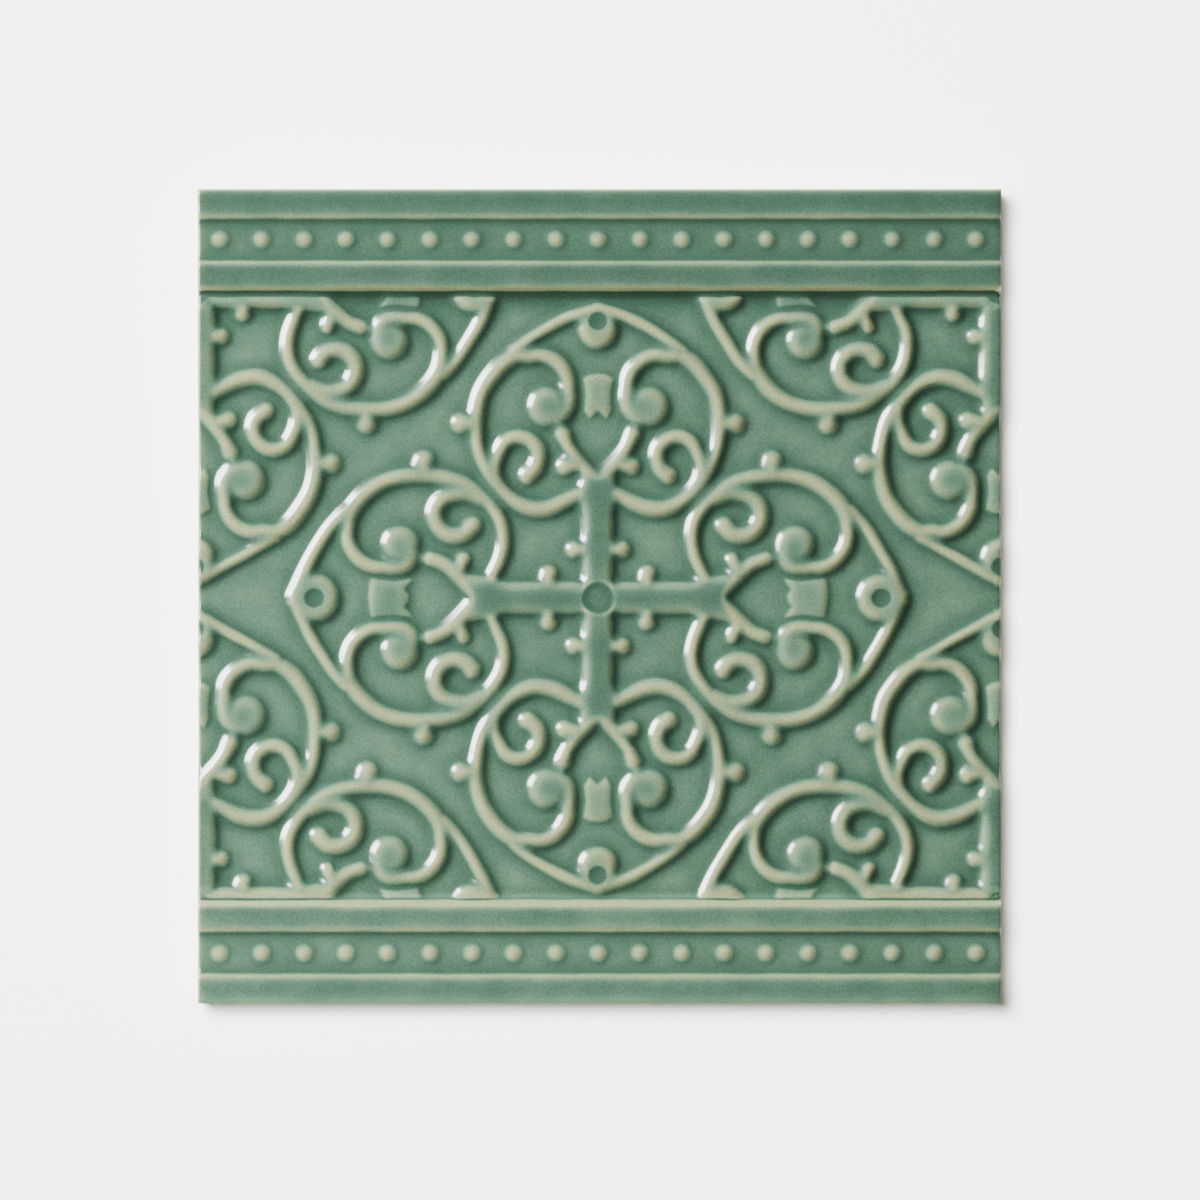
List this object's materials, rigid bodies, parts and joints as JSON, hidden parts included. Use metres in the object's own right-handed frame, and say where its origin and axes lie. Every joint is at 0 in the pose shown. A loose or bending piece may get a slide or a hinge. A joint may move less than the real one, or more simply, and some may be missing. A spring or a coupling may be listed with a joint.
{
  "type": "ceramic wall tile",
  "caption": "Square relief wall tile with scrollwork between beaded mouldings, glazed sea green, with a flat plain back.",
  "frame": {"origin": "centre of the flat back face, on the floor when the tile lies face up", "axes": "+Z out of the relief face, +Y towards the tile's top edge as it hangs on the wall, +X towards its right edge seen from the front"},
  "size_m": [0.15, 0.152, 0.011],
  "materials": {
    "sea_green_glaze": "gloss"
  },
  "bodies": {
    "root": {"tile": "sea_green_glaze"}
  },
  "joints": []
}
